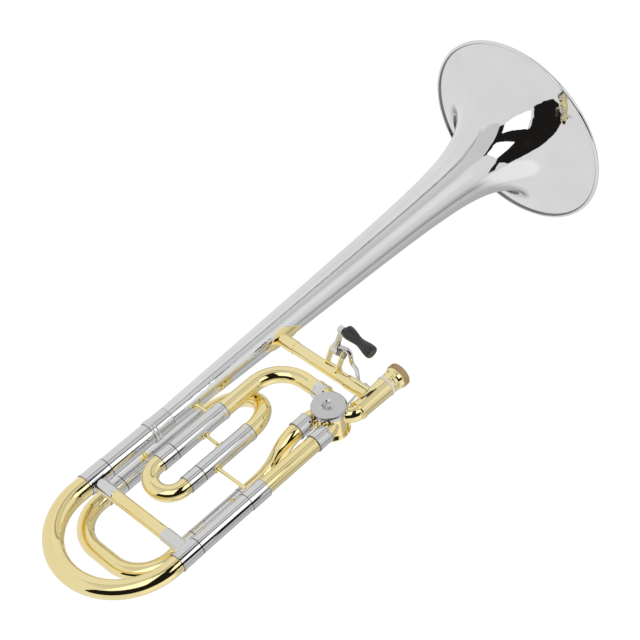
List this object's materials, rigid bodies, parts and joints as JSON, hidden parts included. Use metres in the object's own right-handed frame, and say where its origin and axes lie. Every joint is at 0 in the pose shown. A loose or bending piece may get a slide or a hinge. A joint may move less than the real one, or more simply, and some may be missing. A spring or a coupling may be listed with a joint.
{
  "type": "trombone bell section",
  "caption": "Bell section of a tenor trombone with rotary thumb valve, pull-out tuning slides and hand brace; the empty receiver takes a hand slide.",
  "frame": {"origin": "centre of the bell mouth, in the plane of the lowest ring of the rim bead, so the part stands on its bell", "axes": "+Z along the bell axis from the rim towards the main tuning slide bow; +X from the bell axis to the neckpipe and valve; +Y from the plane of the tubes towards the valve cap and the thumb grip"},
  "size_m": [0.2358, 0.2032, 0.6469],
  "materials": {
    "nickel_plate": "polished",
    "gold_lacquer": "polished lacquer",
    "cap_nickel": "satin",
    "grip_black": "smooth",
    "rim_tan": "knurled, matt",
    "ring_pale": "satin",
    "raw_brass": "machined",
    "steel": "turned",
    "bumper_rubber": "matt"
  },
  "bodies": {
    "bell_section": {"bell_flare": "nickel_plate", "bell_rim_wire": "raw_brass", "bell_slide_sleeve": "nickel_plate", "bell_stem": "nickel_plate", "bell_tail_ferrule": "nickel_plate", "brace_bell_to_f": "gold_lacquer", "brace_f_to_f": "gold_lacquer", "brace_f_to_neck": "gold_lacquer", "brace_rear_to_bell": "gold_lacquer", "f_crook": "gold_lacquer", "f_return_bend": "gold_lacquer", "f_return_knuckle": "gold_lacquer", "gooseneck": "gold_lacquer", "gooseneck_ferrule": "nickel_plate", "gooseneck_knuckle": "gold_lacquer", "hand_brace": "gold_lacquer", "hand_brace_saddle": "gold_lacquer", "hand_brace_sockets": "gold_lacquer", "lever_bracket": "gold_lacquer", "lever_pivot_screw": "steel", "lever_return_spring": "steel", "neck_sleeve_ferrule": "nickel_plate", "neck_slide_sleeve": "nickel_plate", "neckpipe": "gold_lacquer", "neckpipe_knuckle": "gold_lacquer", "rear_f_slide_sleeves": "nickel_plate", "receiver_knuckle": "gold_lacquer", "receiver_ring": "ring_pale", "receiver_tube": "gold_lacquer", "sleeve_end_bands": "nickel_plate", "small_f_slide_sleeves": "nickel_plate", "valve_back_plate": "cap_nickel", "valve_cap": "cap_nickel", "valve_casing": "gold_lacquer", "valve_front_bearing": "raw_brass", "valve_stop_bumpers": "bumper_rubber", "valve_stop_plate": "gold_lacquer", "valve_tube_ferrules": "nickel_plate"},
    "main_tuning_slide": {"main_slide_bow": "gold_lacquer", "main_ferrule_bell": "nickel_plate", "main_ferrule_neck": "nickel_plate", "main_slide_leg_bell": "nickel_plate", "main_slide_leg_neck": "nickel_plate", "main_slide_brace": "gold_lacquer", "main_brace_sockets": "nickel_plate"},
    "small_f_slide": {"small_f_slide_bow": "gold_lacquer", "small_f_slide_ferrules": "nickel_plate", "small_f_slide_legs": "nickel_plate"},
    "rear_f_slide": {"rear_f_slide_bow": "gold_lacquer", "rear_f_slide_ferrules": "nickel_plate", "rear_f_slide_legs": "nickel_plate"},
    "thumb_trigger": {"trigger_lever": "nickel_plate", "thumb_grip": "grip_black"},
    "valve_rotor": {"rotor": "raw_brass", "stop_arm": "nickel_plate", "stop_arm_screw": "steel"},
    "valve_link": {"link_rod": "nickel_plate"},
    "lock_nut": {"receiver_lock_nut": "gold_lacquer", "lock_nut_rim": "rim_tan"}
  },
  "joints": [
    {"name": "main_tuning_slide_pull", "type": "slide", "parent": "bell_section", "child": "main_tuning_slide", "axis": [0, 0, 1], "range_m": [0, 0.052]},
    {"name": "small_f_slide_pull", "type": "slide", "parent": "bell_section", "child": "small_f_slide", "axis": [0, 0, 1], "range_m": [0, 0.01]},
    {"name": "rear_f_slide_pull", "type": "slide", "parent": "bell_section", "child": "rear_f_slide", "axis": [0, 0, 1], "range_m": [0, 0.042]},
    {"name": "thumb_trigger_press", "type": "hinge", "parent": "bell_section", "child": "thumb_trigger", "pos_m": [0.0745, 0.018, 0.3373], "axis": [-1, 0, 0], "range_deg": [0, 23], "stiffness_Nm_per_rad": 0.06, "springref_deg": -28.65, "deforming": ["lever_return_spring"]},
    {"name": "rotor_turn", "type": "hinge", "parent": "bell_section", "child": "valve_rotor", "pos_m": [0.108, 0, 0.3845], "axis": [0, 1, 0], "range_deg": [0, 90.5]},
    {"name": "link_swing", "type": "hinge", "parent": "valve_rotor", "child": "valve_link", "pos_m": [0.10022, -0.0205, 0.37672], "axis": [0, 1, 0], "range_deg": [-90.5, 0]},
    {"name": "lock_nut_turn", "type": "hinge", "parent": "bell_section", "child": "lock_nut", "pos_m": [0.123, 0, 0.32], "axis": [0, 0, 1], "continuous": true}
  ],
  "couplings": [
    {"joint": "rotor_turn", "follows": "thumb_trigger_press", "ratio": 3.913},
    {"joint": "link_swing", "follows": "thumb_trigger_press", "ratio": -3.913}
  ]
}
